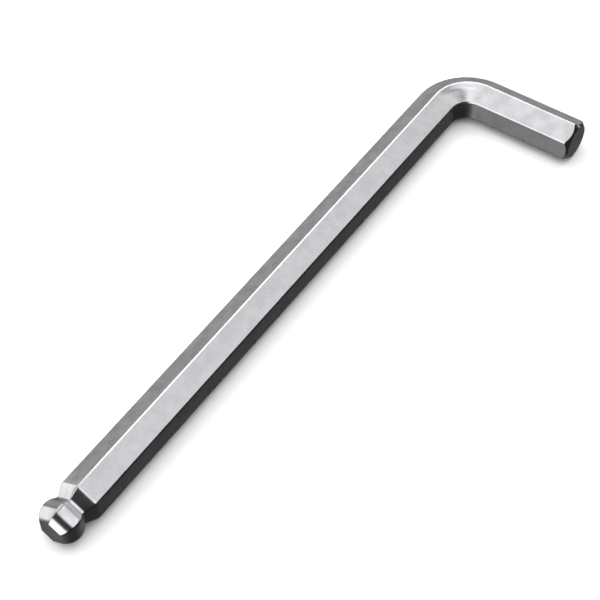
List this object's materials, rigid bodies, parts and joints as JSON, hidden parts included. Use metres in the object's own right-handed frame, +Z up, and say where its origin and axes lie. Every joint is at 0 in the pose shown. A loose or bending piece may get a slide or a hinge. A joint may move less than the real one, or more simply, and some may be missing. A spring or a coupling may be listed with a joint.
{
  "type": "hex key",
  "caption": "L-shaped hexagon bar tool that turns socket screws, with a ball end on its long arm and a chamfered plain end on its short arm.",
  "frame": {"origin": "on the floor, under the middle of the whole key's box", "axes": "+X runs up the long arm from the ball end to the bend, -Y points along the short arm to its plain end, +Z is up from the floor, square to the plane of the two arms"},
  "size_m": [0.173, 0.042, 0.0113],
  "materials": {
    "satin_chrome": "satin chrome plating on tool steel"
  },
  "bodies": {
    "root": {"hex_key": "satin_chrome"}
  },
  "joints": []
}
